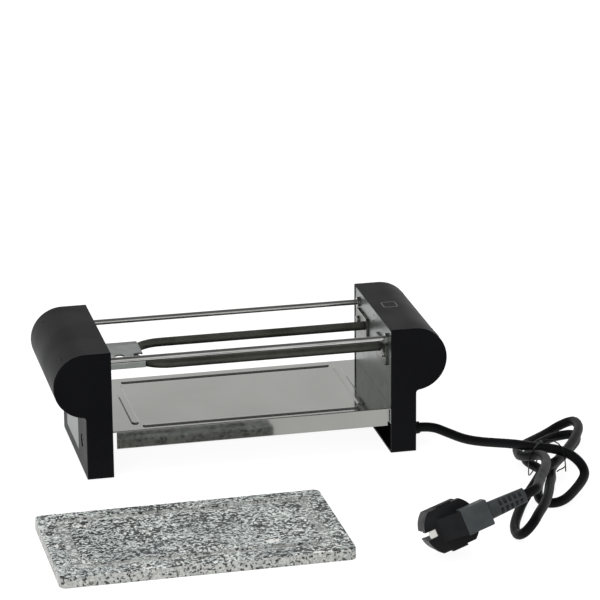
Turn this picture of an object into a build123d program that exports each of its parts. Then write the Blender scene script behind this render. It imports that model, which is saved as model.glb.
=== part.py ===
from build123d import *
from math import acos, atan2, cos, degrees, hypot, pi, radians, sin, sqrt, tan
import os

# Small raclette grill with its granite plate, cord and plug, in millimetres.
# X runs along the two plate rods, -Y is the front, Z = 0 is the table; the origin is on the
# table under the middle of the grill.

# --- casings -------------------------------------------------------------------------------
gap = 206.8          # clear width between the two casings
depth = 115.0        # casing depth, front to back
height = 96.0        # table to casing top
leg_t = 19.2         # leg thickness
bulge_r = 24.0       # radius of the round handle part
bulge_x = 18.2       # bulge centre, out from the casing's inner face
wall = 2.6           # moulded wall
edge_r = 1.2         # eased front and back edges
heel_r = 1.8         # rounded outer heel
armpit_r = 2.5       # fillet where leg and bulge meet
rim = 1.3            # rim left round the side plate
plate_clear = 0.15   # side plate to casing rim, all round
recess = 0.5         # side plate set back from the rim
boss_r = 4.6         # bosses for rods and casing screws
foot_r = 6.0
foot_t = 1.8
foot_proud = 0.6
foot_y = depth / 2 - 13.5

label_y1 = depth / 2 - 19.5          # bare rating plate on the left leg
label_y0 = label_y1 - 55.0
label_z0, label_z1 = 9.5, 44.0
label_sink = 0.4
label_t = 0.5

# --- side plates and tray ------------------------------------------------------------------
plate_t = 1.0
tray_t = 0.8
tray_z = 35.9        # tray's upper face
tray_skirt = 13.4
tray_front = depth / 2 - 0.2
tray_back = depth / 2 - 3.2
skirt_short = 3.2    # front skirt ends this far inside the side plates
bead_w = 4.0
bead_side_w = 6.0
bead_h = 0.9
bead_x = gap / 2 - 18.9   # side beads, from the middle
bead_back = depth / 2 - 12.5
bead_front = 7.5 - depth / 2

# --- rods ----------------------------------------------------------------------------------
rod_d = 4.2
rod_y = depth / 2 - 13.9
rod_z = height - 10.4
rod_grip = 20.0      # length held in each casing
nut_af = 7.0
nut_t = 2.0

# --- heating element -----------------------------------------------------------------------
elem_d = 6.6
elem_y = 24.3        # half spacing of the two legs
elem_z = height - 23.0
elem_nose = 25.4 - gap / 2   # centre line of the bend
cold_end = 12.0      # length behind the right plate
seal_l = 3.0
tab_l = 7.0
tab_w = 4.8
tab_t = 0.8
flange_l = 31.0
flange_h = 16.5
flange_t = 1.8
flange_y = 29.5
flange_screw_y = 39.5
bracket_reach = 31.5
bracket_w = 42.0
bracket_t = 1.2
bracket_skirt = 6.9
bracket_y = -1.5
bracket_holes = ((13.8, 3.6), (28.4, 4.4))   # from the side plate, radius; the second opens the end
bracket_ear = 7.5    # ear set back from the bracket's front
hole_gap = 0.2       # radial clearance of plain holes

# --- screws --------------------------------------------------------------------------------
screw_d = 3.0
head_d = 6.0
head_h = 1.8
case_screw_y = depth / 2 - 23.5
case_screw_z = 23.0
case_screw_d = 4.0
case_head_d = 7.6
case_head_h = 1.6
case_sink_d = 9.8
case_sink = 2.2
clinch_d = 6.4
clinch_t = 2.4

# --- rocker switch on the right casing -----------------------------------------------------
sw_angle = 0.0       # place on the bulge, from +X up
sw_y = 31.0 - depth / 2
pad_r = 24.05        # pad face, from the bulge centre
bezel_l = 15.0
bezel_w = 10.5
bezel_t = 0.75
body_l = 12.6
body_w = 8.8
body_h = 11.0
body_wall = 0.55
rocker_gap = 0.15
pivot_down = 2.6     # pivot below the bezel's face
pivot_d = 1.8
pivot_fit = 0.05
rocker_lift = 1.9    # middle of the rocker above the pivot
rocker_v = 9.0       # slope of its two faces
rocker_rest = 7.0    # it rests tilted with the upper end proud

# --- cord, gland and plug ------------------------------------------------------------------
cord_d = 7.0
gland_y = 11.5 - depth / 2
gland_z = 14.6
gland_d = 11.6
gland_out = 5.0
gland_neck = 9.0
block_l = 24.0
block_y = -26.0
block_h = 11.0
plug_x = 94.1        # middle of the plug's rear face
plug_y = -261.3
plug_z = 25.2
plug_tilt = 19.0     # pins dip below level
plug_turn = 18.5     # cord exit, turned up from level
plug_r = 19.3
plug_flat = 15.1     # side flats, from the middle
plug_flange = 7.0
insert_r = 18.2
insert_flat = 14.2
insert_len = 17.0
lug_w = 11.2
lug_reach = 16.4
slot_w = 5.6         # earth slots at the rim
slot_in = 8.0
pin_d = 4.8
pin_len = 19.0
pin_pitch = 19.0
exit_axis = 6.5      # cord axis behind the rear face
hood_from = 6.2      # rear block, along the exit
hood_to = 25.4
hood_h = 13.0
hood_w = 18.2
slope_run = 15.0     # slanted back of the moulding in front of the block
relief_to = 53.0
relief_d = 12.4
relief_tip = 10.4
relief_neck = 7.6
rib_count = 5
rib_pitch = 3.7
rib_slot = 2.0
rib_core = 2.9       # slot floors, from the cord's axis

tie_r = 0.45
tie_gap = 0.6
tie_reach = 16.0
tie_sides = 8

# --- granite plate -------------------------------------------------------------------------
stone_l = 204.0
stone_w = 112.5
stone_t = 8.2
stone_x = -70.2
stone_y = -189.2
stone_turn = 0.6
stone_corner = 5.0
stone_ease = 1.0
groove_in = 12.0
groove_w = 7.0
groove_d = 1.6

os.makedirs("parts", exist_ok=True)
inner = gap / 2                      # casing's inner face
plate_in = inner + recess            # side plate's inner face
plate_out = plate_in + plate_t
base_z = foot_proud                  # casing's lower face


def save(name, *solids):
    solids = [s for part in solids for s in part.solids()]
    shape = solids[0] if len(solids) == 1 else Compound(children=solids)
    export_step(shape, f"parts/{name}.step")
    return shape


def block(x0, x1, y0, y1, z0, z1):
    return Pos((x0 + x1) / 2, (y0 + y1) / 2, (z0 + z1) / 2) * Box(x1 - x0, y1 - y0, z1 - z0)


def bar_x(r, x0, x1, y, z):
    return Pos((x0 + x1) / 2, y, z) * Rot(0, 90, 0) * Cylinder(r, abs(x1 - x0))


def flip(shape):
    return mirror(shape, about=Plane.YZ)


# --- casings -------------------------------------------------------------------------------
bulge_z = height - bulge_r
bulge_cx = inner + bulge_x


def profile(inset, x0):
    """Casing outline in XZ, drawn inset by a wall and cut off at x0."""
    leg = Pos((x0 + inner + leg_t - inset) / 2, (base_z + inset + bulge_z) / 2) * Rectangle(
        inner + leg_t - inset - x0, bulge_z - base_z - inset)
    band = Pos((x0 + bulge_cx) / 2, bulge_z) * Rectangle(bulge_cx - x0, 2 * (bulge_r - inset))
    band = band & (Pos((x0 + bulge_cx) / 2, bulge_z + bulge_r / 2) * Rectangle(
        bulge_cx - x0, bulge_r))
    round_part = Pos(bulge_cx, bulge_z) * Circle(bulge_r - inset)
    keep = Pos(x0 + height, height / 2) * Rectangle(2 * height, 2 * height)
    return (leg + band + round_part) & keep


def casing_shell():
    outline = profile(0, inner)
    crease = [v for v in outline.vertices()
              if abs(v.X - inner - leg_t) < 0.1 and v.Y > base_z + 10]
    outline = fillet(crease, armpit_r)
    body = extrude(Plane.XZ * outline, depth / 2, both=True)
    rims = [e for y in (0, -1) for e in body.faces().sort_by(Axis.Y)[y].edges()
            if e.center().X > inner + 0.5]
    body = fillet(rims, edge_r)
    cavity = extrude(Plane.XZ * profile(wall, inner - 1), depth / 2 - wall, both=True)
    mouth = block(inner - 1, plate_out, -depth / 2 + rim, depth / 2 - rim,
                  base_z + rim, height - rim)
    return body - cavity - mouth


wall_in = inner + leg_t - wall       # inside of the leg's outer wall
rod_boss_to = bulge_cx + sqrt((bulge_r - wall) ** 2 - (rod_z - bulge_z) ** 2)
posts = [bar_x(boss_r, plate_out, rod_boss_to, y, rod_z) for y in (-rod_y, rod_y)]
posts += [bar_x(boss_r, plate_out, wall_in, y, case_screw_z)
          for y in (-case_screw_y, case_screw_y)]
bores = [bar_x(rod_d / 2 + 0.05, plate_out - 1, inner + rod_grip + 0.5, y, rod_z)
         for y in (-rod_y, rod_y)]
for y in (-case_screw_y, case_screw_y):
    bores.append(bar_x(case_screw_d / 2 + hole_gap, plate_out - 1, inner + leg_t + 1, y,
                       case_screw_z))
    bores.append(bar_x(case_sink_d / 2, inner + leg_t - case_sink, inner + leg_t + 1, y,
                       case_screw_z))
    bores.append(bar_x(clinch_d / 2 + hole_gap, plate_out - 1, plate_out + clinch_t + 0.3, y,
                       case_screw_z))
foot_x = inner + leg_t / 2
for y in (-foot_y, foot_y):
    bores.append(Pos(foot_x, y, base_z) * Cylinder(foot_r + 0.15, 2 * (foot_t - foot_proud)))

shell = casing_shell() + posts - bores

# the switch sits across the bulge, its frame's Z standing off the surface
sw_plane = Plane(origin=(bulge_cx, sw_y, bulge_z), x_dir=(-sin(radians(sw_angle)), 0,
                 cos(radians(sw_angle))), z_dir=(cos(radians(sw_angle)), 0,
                 sin(radians(sw_angle))))
pad = sw_plane * block(-bezel_l / 2 - 0.8, bezel_l / 2 + 0.8, -bezel_w / 2 - 0.8,
                       bezel_w / 2 + 0.8, bulge_r - 2.2, pad_r)
sw_hole = sw_plane * block(-body_l / 2 - hole_gap, body_l / 2 + hole_gap,
                           -body_w / 2 - hole_gap, body_w / 2 + hole_gap,
                           bulge_r - body_h - 4, pad_r + 3)
gland_hole = bar_x(gland_neck / 2, wall_in - 1, inner + leg_t + 1, gland_y, gland_z)
right_casing = shell + pad - sw_hole - gland_hole
left_x = -inner - leg_t
left_casing = flip(shell) - block(left_x - 1, left_x + label_sink, label_y0, label_y1,
                                  label_z0, label_z1)
save("right_casing", right_casing)
save("left_casing", left_casing)
save("rating_plate", block(left_x + label_sink - label_t, left_x + label_sink,
                           label_y0 + hole_gap, label_y1 - hole_gap,
                           label_z0 + hole_gap, label_z1 - hole_gap))

feet = [Pos(side * foot_x, y, foot_t / 2) * Cylinder(foot_r, foot_t)
        for side in (-1, 1) for y in (-foot_y, foot_y)]
save("foot_pads", *feet)

# --- side plates ---------------------------------------------------------------------------
plate_y = depth / 2 - rim - plate_clear
plate_z0, plate_z1 = base_z + rim + plate_clear, height - rim - plate_clear
sheet = block(plate_in, plate_out, -plate_y, plate_y, plate_z0, plate_z1)
for y in (-rod_y, rod_y):
    sheet -= bar_x(rod_d / 2 + hole_gap, plate_in - 1, plate_out + 1, y, rod_z)
for y in (-case_screw_y, case_screw_y):
    sheet -= bar_x(case_screw_d / 2 + 0.6, plate_in - 1, plate_out + 1, y, case_screw_z)
tray_screw_y = 20.0
tray_screw_z = tray_z - tray_skirt / 2
for y in (-tray_screw_y, tray_screw_y):
    sheet -= bar_x(screw_d / 2 + 0.05, plate_in - 1, plate_out + 1, y, tray_screw_z)
right_plate = sheet
for s in (-1, 1):
    right_plate -= bar_x(elem_d / 2 + hole_gap, plate_in - 1, plate_out + 1, s * elem_y, elem_z)
    right_plate -= bar_x(screw_d / 2 + 0.05, plate_in - 1, plate_out + 1, s * flange_screw_y,
                         elem_z)
# two small stampings above the element, as on the photographed plate
right_plate -= bar_x(1.2, plate_in - 1, plate_out + 1, -2.3, elem_z + 12.0)
right_plate -= bar_x(0.9, plate_in - 1, plate_out + 1, -2.3, elem_z + 17.0)
right_plate -= block(plate_in - 1, plate_out + 1, -19.5, -15.7, elem_z + 6.7, elem_z + 7.9)
save("right_side_plate", right_plate)

bracket_screw_y = 10.5
bracket_screw_mid = bracket_y + 2.0
bracket_screw_z = elem_z - elem_d / 2 - 5.0
left_plate = flip(sheet)
for y in (-bracket_screw_y, bracket_screw_y):
    left_plate -= bar_x(screw_d / 2 + 0.05, -plate_in + 1, -plate_out - 1,
                        bracket_screw_mid + y, bracket_screw_z)
save("left_side_plate", left_plate)

# --- rods with their nuts ------------------------------------------------------------------
for name, y in (("front_rod", -rod_y), ("back_rod", rod_y)):
    save(name, bar_x(rod_d / 2, -inner - rod_grip, inner + rod_grip, y, rod_z))
nuts = []
for y in (-rod_y, rod_y):
    for side in (-1, 1):
        hexagon = Plane(origin=(side * (plate_in - nut_t), y, rod_z), z_dir=(side, 0, 0)) * (
            RegularPolygon(nut_af / 2, 6, major_radius=False) - Circle(rod_d / 2 + 0.05))
        nuts.append(extrude(hexagon, nut_t))
save("rod_nuts", *nuts)


def pan_screw(x, way, y, z, length, shank=screw_d, head=head_d, tall=head_h):
    """Screw along X: x is under the head, way points along the shank."""
    body = bar_x(shank / 2, x, x + way * length, y, z)
    cap = bar_x(head / 2, x - way * tall, x, y, z)
    cap = fillet(cap.faces().sort_by(Axis.X)[0 if way > 0 else -1].edges(), tall * 0.45)
    drive = block(x - way * tall - 0.5, x - way * tall + 0.5, y - 0.4, y + 0.4, z - head / 2,
                  z + head / 2)
    cross = block(x - way * tall - 0.5, x - way * tall + 0.5, y - head / 2, y + head / 2,
                  z - 0.4, z + 0.4)
    cut = bar_x(head * 0.36, x - way * tall - 1, x - way * tall + 1, y, z)
    return cap + body - ((drive + cross) & cut)


case_screws, clinches = [], []
for side in (-1, 1):
    for y in (-case_screw_y, case_screw_y):
        under = side * (inner + leg_t - case_sink)
        case_screws.append(pan_screw(under, -side, y, case_screw_z,
                                     leg_t - case_sink - recess - plate_t + 0.6,
                                     case_screw_d, case_head_d, case_head_h))
        ring = bar_x(clinch_d / 2, side * plate_out, side * (plate_out + clinch_t), y,
                     case_screw_z)
        clinches.append(ring - bar_x(case_screw_d / 2 + 0.02, side * (plate_out - 1),
                                     side * (plate_out + clinch_t + 1), y, case_screw_z))
save("casing_screws", *case_screws)
save("clinch_nuts", *clinches)

# --- pan tray ------------------------------------------------------------------------------
top0, top1 = tray_z - tray_t, tray_z
low = tray_z - tray_skirt
skirt_x = plate_in - skirt_short
tray = block(-plate_in, plate_in, -plate_y, tray_back, top0, top1)
tray += block(-inner + 0.3, inner - 0.3, -tray_front, -plate_y + 1, top0, top1)
tray += block(-skirt_x, skirt_x, -tray_front, -tray_front + tray_t, low, top1)
tray += block(-skirt_x, skirt_x, tray_back - tray_t, tray_back, low, top1)
for side in (-1, 1):
    ends = block(plate_in - tray_t, plate_in, -plate_y + 6, plate_y - 6, low, top1)
    tray += ends if side > 0 else flip(ends)
    for y in (-tray_screw_y, tray_screw_y):
        tray -= bar_x(screw_d / 2 + 0.05, side * (plate_in - 2), side * (plate_in + 1), y,
                      tray_screw_z)
long_edges = [e for e in tray.edges().filter_by(Axis.X)
              if e.center().Z > top1 - 0.05 and e.length > gap / 2]
tray = fillet(long_edges, tray_t * 0.6)


def bead(x, y, length, width, along_x):
    """Pressed rib: a low mound with rounded ends."""
    shape = Pos(x, y) * SlotOverall(length, width, rotation=0 if along_x else 90)
    rib = extrude(Plane.XY.offset(top1 - 0.1) * shape, bead_h + 0.1)
    return chamfer(rib.faces().sort_by(Axis.Z)[-1].edges(), bead_h * 0.8, bead_h * 0.8)


bead_mid = (bead_back + bead_front) / 2
tray += bead(0, bead_back, 2 * bead_x - 8, bead_w, True)
tray += bead(0, bead_front, 2 * bead_x - 8, bead_w, True)
for side in (-1, 1):
    tray += bead(side * bead_x, bead_mid, bead_back - bead_front - 10, bead_side_w, False)
save("pan_tray", tray)
save("tray_screws", *[pan_screw(side * (plate_in - tray_t), side, y, tray_screw_z,
                                plate_t + tray_t + 3.5)
                      for side in (-1, 1) for y in (-tray_screw_y, tray_screw_y)])

# --- heating element with its flanges and bracket --------------------------------------------
cold_x = plate_out + cold_end
elem_path = (Line((cold_x, elem_y), (elem_nose + elem_y, elem_y))
             + ThreePointArc((elem_nose + elem_y, elem_y), (elem_nose, 0),
                             (elem_nose + elem_y, -elem_y))
             + Line((elem_nose + elem_y, -elem_y), (cold_x, -elem_y)))
elem_path = Pos(0, 0, elem_z) * elem_path
element = sweep(Plane(origin=(cold_x, elem_y, elem_z), z_dir=(-1, 0, 0)) * Circle(elem_d / 2),
                path=elem_path)
save("heating_element", element)
seals, tabs = [], []
for s in (-1, 1):
    seals.append(bar_x(elem_d / 2 - 0.3, cold_x, cold_x + seal_l, s * elem_y, elem_z))
    tabs.append(block(cold_x + seal_l, cold_x + seal_l + tab_l, s * elem_y - tab_w / 2,
                      s * elem_y + tab_w / 2, elem_z - tab_t / 2, elem_z + tab_t / 2))
save("element_seals", *seals)
save("element_tabs", *tabs)

for name, s in (("element_flange_front", -1), ("element_flange_back", 1)):
    x0 = plate_in - flange_t
    flange = block(x0, plate_in, s * flange_y - flange_l / 2, s * flange_y + flange_l / 2,
                   elem_z - flange_h / 2, elem_z + flange_h / 2)
    flange = chamfer(flange.edges().filter_by(Axis.X), 1.5)
    flange -= bar_x(elem_d / 2 + hole_gap, x0 - 1, plate_in + 1, s * elem_y, elem_z)
    flange -= bar_x(screw_d / 2 + 0.05, x0 - 1, plate_in + 1, s * flange_screw_y, elem_z)
    save(name, flange)
save("flange_screws", *[pan_screw(plate_in - flange_t, 1, s * flange_screw_y, elem_z,
                                  flange_t + plate_t + 3.0) for s in (-1, 1)])

brk_top = elem_z + elem_d / 2 + 0.3 + bracket_t
brk_x0, brk_x1 = -plate_in, -plate_in + bracket_reach
brk_y0, brk_y1 = bracket_y - bracket_w / 2, bracket_y + bracket_w / 2
outer_u = block(brk_x0, brk_x1, brk_y0, brk_y1, brk_top - bracket_skirt, brk_top)
bend_r = 3.0
outer_u = fillet([e for e in outer_u.edges().filter_by(Axis.X) if e.center().Z > brk_top - 0.1],
                 bend_r)
inner_u = block(brk_x0 - 1, brk_x1 + 1, brk_y0 + bracket_t, brk_y1 - bracket_t,
                brk_top - bracket_skirt - 1, brk_top - bracket_t)
inner_u = fillet([e for e in inner_u.edges().filter_by(Axis.X)
                  if e.center().Z > brk_top - bracket_t - 0.1], bend_r - bracket_t)
bracket = outer_u - inner_u
nose_cut = Pos(elem_nose + elem_y, 0, 0) * (
    Pos(0, 0, elem_z) * Torus(elem_y, elem_d / 2 + 0.25))
bracket -= nose_cut
for x, hole_r in bracket_holes:
    bracket -= Pos(brk_x0 + x, bracket_y - bracket_w * 0.28, brk_top) * Cylinder(hole_r, 4)
ear = block(brk_x0, brk_x0 + bracket_t, brk_y0 + bracket_ear, brk_y1 - 4,
            bracket_screw_z - 4.5, brk_top - bracket_t * 0.5)
for y in (-bracket_screw_y, bracket_screw_y):
    ear -= bar_x(screw_d / 2 + 0.05, brk_x0 - 1, brk_x0 + 3, bracket_screw_mid + y,
                 bracket_screw_z)
bracket += ear
bracket = bracket.solids().sort_by(SortBy.VOLUME)[-1]
save("element_bracket", bracket)
save("bracket_screws", *[pan_screw(brk_x0 + bracket_t, -1, bracket_screw_mid + y, bracket_screw_z,
                                   bracket_t + plate_t + 3.0)
                         for y in (-bracket_screw_y, bracket_screw_y)])

# --- rocker switch -------------------------------------------------------------------------
bezel_z = pad_r + bezel_t
seat_z = pad_r + 0.02
housing = block(-bezel_l / 2, bezel_l / 2, -bezel_w / 2, bezel_w / 2, seat_z, bezel_z)
housing = fillet(housing.edges().filter_by(Axis.Z), 1.0)
housing += block(-body_l / 2, body_l / 2, -body_w / 2, body_w / 2, bezel_z - body_h, seat_z)
well_l, well_w = body_l - 2 * body_wall, body_w - 2 * body_wall
well_z = bezel_z - 7.2
housing -= block(-well_l / 2, well_l / 2, -well_w / 2, well_w / 2, well_z, bezel_z + 1)
pivot_z = bezel_z - pivot_down
bore = Pos(0, 0, pivot_z) * Rot(90, 0, 0) * Cylinder(pivot_d / 2 + pivot_fit, body_w + 4)
housing -= bore
save("switch_housing", sw_plane * housing)

rocker_r = well_l / 2 - rocker_gap
rocker_w = well_w - 2 * rocker_gap
rise = rocker_r * tan(radians(rocker_v))
face = Polyline((-rocker_r - 1, rocker_lift + rise * (rocker_r + 1) / rocker_r),
                (0, rocker_lift),
                (rocker_r + 1, rocker_lift + rise * (rocker_r + 1) / rocker_r),
                (rocker_r + 1, -2.4), (-rocker_r - 1, -2.4), close=True)
section = make_face(face) & Circle(rocker_r)
rocker = extrude(Plane.XZ * section, rocker_w / 2, both=True)
rocker += Rot(90, 0, 0) * Cylinder(pivot_d / 2, body_w - 0.3)
save("switch_rocker", sw_plane * (Pos(0, 0, pivot_z) * Rot(0, -rocker_rest, 0) * rocker))
blade_z = bezel_z - body_h
save("switch_blades", *[sw_plane * block(x - 0.4, x + 0.4, -2.4, 2.4, blade_z - 7, blade_z)
                        for x in (-3.5, 3.5)])

# --- inside the right casing -----------------------------------------------------------------
blk_z0 = base_z + wall
block_top = blk_z0 + block_h
terminal_block = block(plate_out + 2.0, wall_in - 1.0, block_y, block_y + block_l, blk_z0,
                       block_top)
for i in range(3):
    y = block_y + block_l * (i + 0.5) / 3
    terminal_block -= Pos((plate_out + wall_in) / 2 + 0.5, y, block_top) * Cylinder(2.0, 5)
save("terminal_block", terminal_block)
cut_z = elem_z - 13.0
cutout = bar_x(6.5, plate_out + 1.0, plate_out + 8.0, 0, cut_z)
cutout += block(plate_out, plate_out + 1.0, -11.5, 11.5, cut_z - 5, cut_z + 5)
save("thermal_cutout", cutout)
cut_tabs = [block(plate_out + 8.0, plate_out + 13.0, y - 2.4, y + 2.4, cut_z - 0.4,
                  cut_z + 0.4) for y in (-3.6, 3.6)]
save("cutout_tabs", *cut_tabs)
clamp = block(wall_in - 9.0, wall_in, gland_y - 7.5, gland_y + 6.7, gland_z - 6.5,
              gland_z + 6.5)
clamp -= bar_x(gland_neck / 2 + 0.1, wall_in - 3.0, wall_in + 1, gland_y, gland_z)
save("cord_clamp", clamp)


def wire(points, r):
    pts = [Vector(*p) for p in points]
    radii = []
    for a, b, c in zip(pts, pts[1:], pts[2:]):
        turn = radians((b - a).get_angle(c - b))
        radii.append(0.45 * min((b - a).length, (c - b).length) / tan(turn / 2))
    path = FilletPolyline(*pts, radius=radii)
    start = Plane(origin=pts[0], z_dir=pts[1] - pts[0])
    return path, sweep(start * Circle(r), path=path), radii


sw_world = [sw_plane.from_local_coords(Vector(x, 0, blade_z - 7)) for x in (-3.5, 3.5)]
sw_out = sw_plane.z_dir * -1
mid_x = inner + 12.0
tab_x = cold_x + seal_l + tab_l
block_mid = block_y + block_l / 2
wires = []
for points in (
        [(mid_x, block_mid - 8, block_top), (mid_x, block_mid - 8, bulge_z - 32),
         (mid_x + 1, block_mid - 13, bulge_z - 17),
         tuple(sw_world[0] + sw_out * 6), tuple(sw_world[0])],
        [tuple(sw_world[1]), tuple(sw_world[1] + sw_out * 4.5),
         (mid_x + 3.5, sw_y - 7, elem_z + 8), (mid_x + 8.6, -elem_y, elem_z + 10.5),
         (mid_x + 8.6, -elem_y, elem_z + tab_t / 2)],
        [(mid_x, block_mid, block_top), (mid_x, block_mid, cut_z - 24),
         (mid_x + 1, block_mid + 4, cut_z - 10),
         (plate_out + 17.5, -3.6, cut_z), (plate_out + 13, -3.6, cut_z)],
        [(plate_out + 13, 3.6, cut_z), (plate_out + 18, 3.6, cut_z),
         (mid_x + 12, 14, cut_z + 6), (tab_x + 6, elem_y, elem_z), (tab_x, elem_y, elem_z)]):
    wires.append(wire(points, 1.1)[1])
save("hookup_wires", *wires)

# --- gland -----------------------------------------------------------------------------------
face_x = inner + leg_t
gland = bar_x(gland_neck / 2 - 0.1, wall_in - 2.5, face_x, gland_y, gland_z)
collar = bar_x(gland_d / 2, face_x, face_x + 1.6, gland_y, gland_z)
collar = fillet(collar.faces().sort_by(Axis.X)[-1].edges(), 0.8)
spout = Plane(origin=(face_x + 1.2, gland_y, gland_z), z_dir=(1, 0, 0))
cone = loft([spout * Circle(gland_d / 2 - 1.0),
             spout.offset(gland_out - 1.2) * Circle(cord_d / 2 + 0.9)])
save("cord_gland", gland + collar + cone)

# --- plug, lying on its face edge and pins ----------------------------------------------------
level = Vector(1, 0, 0)
pins_dir = Vector(0, cos(radians(plug_tilt)), -sin(radians(plug_tilt)))
up_dir = level.cross(pins_dir)
exit_dir = level * cos(radians(plug_turn)) + up_dir * sin(radians(plug_turn))
plug_plane = Plane(origin=(plug_x, plug_y, plug_z), x_dir=exit_dir, z_dir=pins_dir)
relief_end = plug_plane.from_local_coords(Vector(relief_to, 0, -exit_axis))

def flatted(r, flat):
    return Circle(r) & Rectangle(4 * r, 2 * flat)


disc = extrude(flatted(plug_r, plug_flat), plug_flange)
disc += block(-lug_w / 2, lug_w / 2, -lug_reach, lug_reach, 0, plug_flange)
disc = fillet(disc.faces().sort_by(Axis.Z)[0].edges(), 0.8)
insert_end = plug_flange + insert_len
plug_core = extrude(Plane.XY.offset(plug_flange) * flatted(insert_r, insert_flat), insert_len)
plug_core -= extrude(Plane.XY.offset(insert_end - 1.2) * flatted(insert_r - 2.2,
                                                                 insert_flat - 2.0), 3)
slope = Plane.XZ * make_face(Polyline((hood_from - slope_run, 0.6), (hood_from, 0.6),
                                      (hood_from, -hood_h + 0.6), (hood_from - slope_run, 0),
                                      close=True))
body = disc + plug_core + extrude(slope, hood_w / 2 - 0.9, both=True)
slot_floor = plug_r - slot_in
for s in (-1, 1):
    body -= block(slot_floor if s > 0 else -plug_r - 5, plug_r + 5 if s > 0 else -slot_floor,
                  -slot_w / 2, slot_w / 2, 3.0 if s > 0 else -1, insert_end + 1)
for s in (-1, 1):
    body -= Pos(0, s * pin_pitch / 2, plug_flange + insert_len) * Cylinder(pin_d / 2, 12)
save("plug_body", plug_plane * body)

pins = []
for s in (-1, 1):
    tip_z = plug_flange + insert_len + pin_len
    pin = Pos(0, s * pin_pitch / 2, tip_z - (pin_len + 6) / 2) * Cylinder(pin_d / 2,
                                                                       pin_len + 6)
    pins.append(plug_plane * fillet(pin.faces().sort_by(Axis.Z)[-1].edges(), 1.6))
save("plug_pins", *pins)
clips = []
for s in (-1, 1):
    strip = block(min(s * slot_floor, s * (slot_floor + 1)), max(s * slot_floor, s * (slot_floor + 1)),
                  -slot_w / 2 + 0.2, slot_w / 2 - 0.2, 3.1 if s > 0 else 1.2, insert_end - 1.5)
    if s < 0:
        strip += block(-slot_floor - 5.2, -slot_floor, -slot_w / 2 + 0.2, slot_w / 2 - 0.2,
                       1.2, 2.2)
    clips.append(plug_plane * strip)
save("plug_earth_clips", *clips)

hood = block(hood_from, hood_to, -hood_w / 2, hood_w / 2, -hood_h, 0)
hood = fillet(hood.edges().filter_by(Axis.X), 1.4)
hood = fillet(hood.faces().sort_by(Axis.X)[-1].edges(), 0.8)
save("plug_hood", plug_plane * hood)

neck_plane = Plane(origin=(hood_to, 0, -exit_axis), z_dir=(1, 0, 0))
relief_len = relief_to - hood_to
relief = loft([neck_plane * Circle(relief_d / 2),
               neck_plane.offset(relief_len) * Circle(relief_tip / 2)])
for i in range(rib_count):
    x = hood_to + relief_neck + i * rib_pitch
    for side in (-1, 1):
        for way in (-1, 1):
            relief -= block(x, x + rib_slot, min(side * 0.75, side * relief_d),
                            max(side * 0.75, side * relief_d),
                            -exit_axis + min(way * rib_core, way * relief_d),
                            -exit_axis + max(way * rib_core, way * relief_d))
save("plug_relief", plug_plane * relief)

# --- cord ------------------------------------------------------------------------------------
# Route of the cord's middle line: out of the gland, up on to the hank, round the large right
# loop, through the tie, round the first upper loop, down the near loop, up the second upper
# loop, through the tie again and back to the plug.
lead_pts = [(face_x + gland_out, gland_y, gland_z), (137, -46, 14.6), (147, -54.5, 11.8),
            (156, -68, 10.8), (165, -81, 12.715), (174, -94.5, 16)]
hank_pts = [
    (174, -94.5, 16), (184, -109.5, 19.65), (194, -122.5, 21.3), (205, -135.5, 23.9),
    (215, -141, 20.9), (221.5, -146, 15), (222, -155, 11), (216.5, -164, 8.5),
    (206, -176.5, 6), (198, -184.5, 4.6), (190, -188, 3.7), (182.5, -185, 3.6),
    (181, -175.5, 3.6), (184, -163, 3.6), (189, -149, 3.6), (195.5, -136, 3.8),
    (197.5, -126, 5), (193, -115, 5.4), (192, -104.5, 5), (196, -95, 4.4),
    (204, -83.5, 5.4), (214, -75, 6), (223, -67, 5.4), (231, -63.5, 5),
    (239, -65, 6.2), (241, -73, 7.2), (237, -84, 7.4), (228, -97.5, 7.4),
    (217, -112.5, 7.6), (207, -127, 8.3), (200.5, -140, 9), (197, -154, 9.4),
    (192.5, -167, 12.6), (188, -179, 15.5), (183, -194, 17), (176.5, -211, 18.5),
    (169, -226, 18.3), (162, -237, 17.6), (156.5, -245.5, 15.5), (150, -247.5, 9.5),
    (147, -239.5, 4), (148, -228, 3.6), (152, -215, 3.6), (158, -201.5, 3.7),
    (165, -187, 4.7), (172, -177, 7.4), (181, -166.5, 11.6), (190, -155, 15.8),
    (199, -147, 17.3), (206, -137.5, 15), (217, -121.5, 15.4), (227, -106, 15.2),
    (235.5, -90.5, 15.2), (242, -75.5, 15), (244.5, -61, 13.8), (243.5, -51.5, 11.5),
    (235, -48, 7), (224, -54.5, 4.4), (212.5, -63, 3.8), (202, -72, 4.3),
    (195, -82, 6.2), (188.5, -94, 9.9), (185.5, -110, 11.2), (183, -124, 16),
    (184.5, -136, 20), (189.5, -146, 24.5), (190, -158, 28), (187, -173, 30.5),
    (181.5, -190, 33.7), (175, -206.5, 37), (168.5, -221.5, 39.4), (162.5, -236, 41.8),
    (158, -249, 44.2), tuple(relief_end + exit_dir * 8.6), tuple(relief_end)]


def least_gap(path, thick, apart):
    n = int(path.length / 1.6)
    pts = [path.position_at(i / n) for i in range(n + 1)]
    step = path.length / n
    skip = int(apart / step)
    low_d = min((pts[i] - pts[j]).length for i in range(n + 1)
                for j in range(i + skip, n + 1))
    return low_d - thick


for name, pts in (("power_lead", lead_pts), ("cord_hank", hank_pts)):
    path, tube, radii = wire(pts, cord_d / 2)
    section = pi * cord_d ** 2 / 4
    print(name, "length", round(path.length, 1), "volume ratio",
          round(tube.volume / (section * path.length), 4),
          "radii", [round(r, 1) for r in radii])
    if name == "cord_hank":
        hank_path = path
        print("least gap of the hank to itself", round(least_gap(path, cord_d, 22), 2))
    save(name, tube)

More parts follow.
